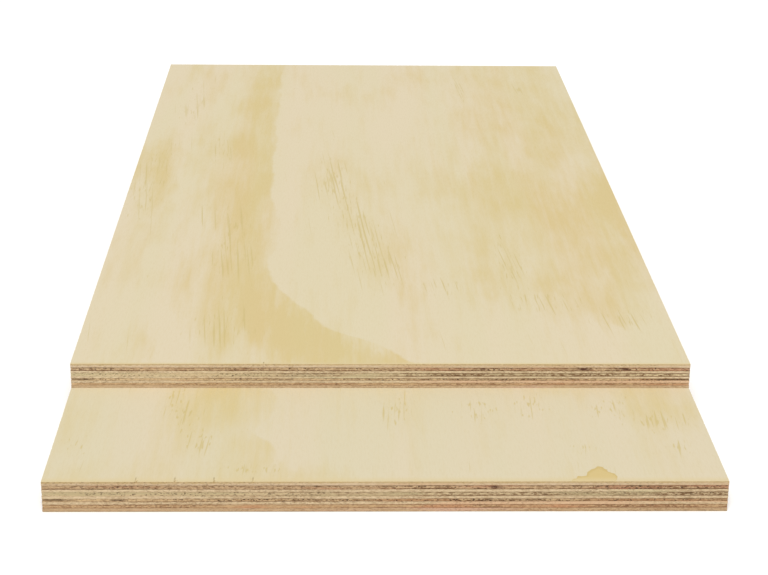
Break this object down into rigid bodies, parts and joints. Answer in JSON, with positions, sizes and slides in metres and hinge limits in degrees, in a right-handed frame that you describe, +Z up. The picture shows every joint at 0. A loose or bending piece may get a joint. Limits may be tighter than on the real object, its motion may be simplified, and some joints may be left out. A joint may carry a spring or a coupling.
{
  "type": "stack of plywood sheets",
  "caption": "Stack of pine plywood panels lying flat, the upper one set back, with cross-laid veneers showing on the sawn edges. Sheet stock for joinery and building.",
  "frame": {"origin": "on the floor, at the middle of the stack's outline", "axes": "+X across the sheets, +Y along their face grain towards the end where the upper sheet overhangs, +Z up"},
  "size_m": [0.5, 1.17, 0.045],
  "materials": {
    "face_veneer": "sanded, unfinished",
    "long_veneer": "sawn edge, unfinished",
    "cross_veneer": "sawn end grain, unfinished",
    "back_veneer": "sanded, unfinished"
  },
  "bodies": {
    "root": {"lower_back_veneer": "back_veneer", "lower_cross_ply_4": "cross_veneer", "lower_long_ply_2": "long_veneer", "lower_cross_ply_3": "cross_veneer", "lower_centre_ply": "long_veneer", "lower_cross_ply_2": "cross_veneer", "lower_long_ply_1": "long_veneer", "lower_cross_ply_1": "cross_veneer", "lower_face_veneer": "face_veneer", "upper_back_veneer": "back_veneer", "upper_cross_ply_4": "cross_veneer", "upper_long_ply_2": "long_veneer", "upper_cross_ply_3": "cross_veneer", "upper_centre_ply": "long_veneer", "upper_cross_ply_2": "cross_veneer", "upper_long_ply_1": "long_veneer", "upper_cross_ply_1": "cross_veneer", "upper_face_veneer": "face_veneer"}
  },
  "joints": []
}
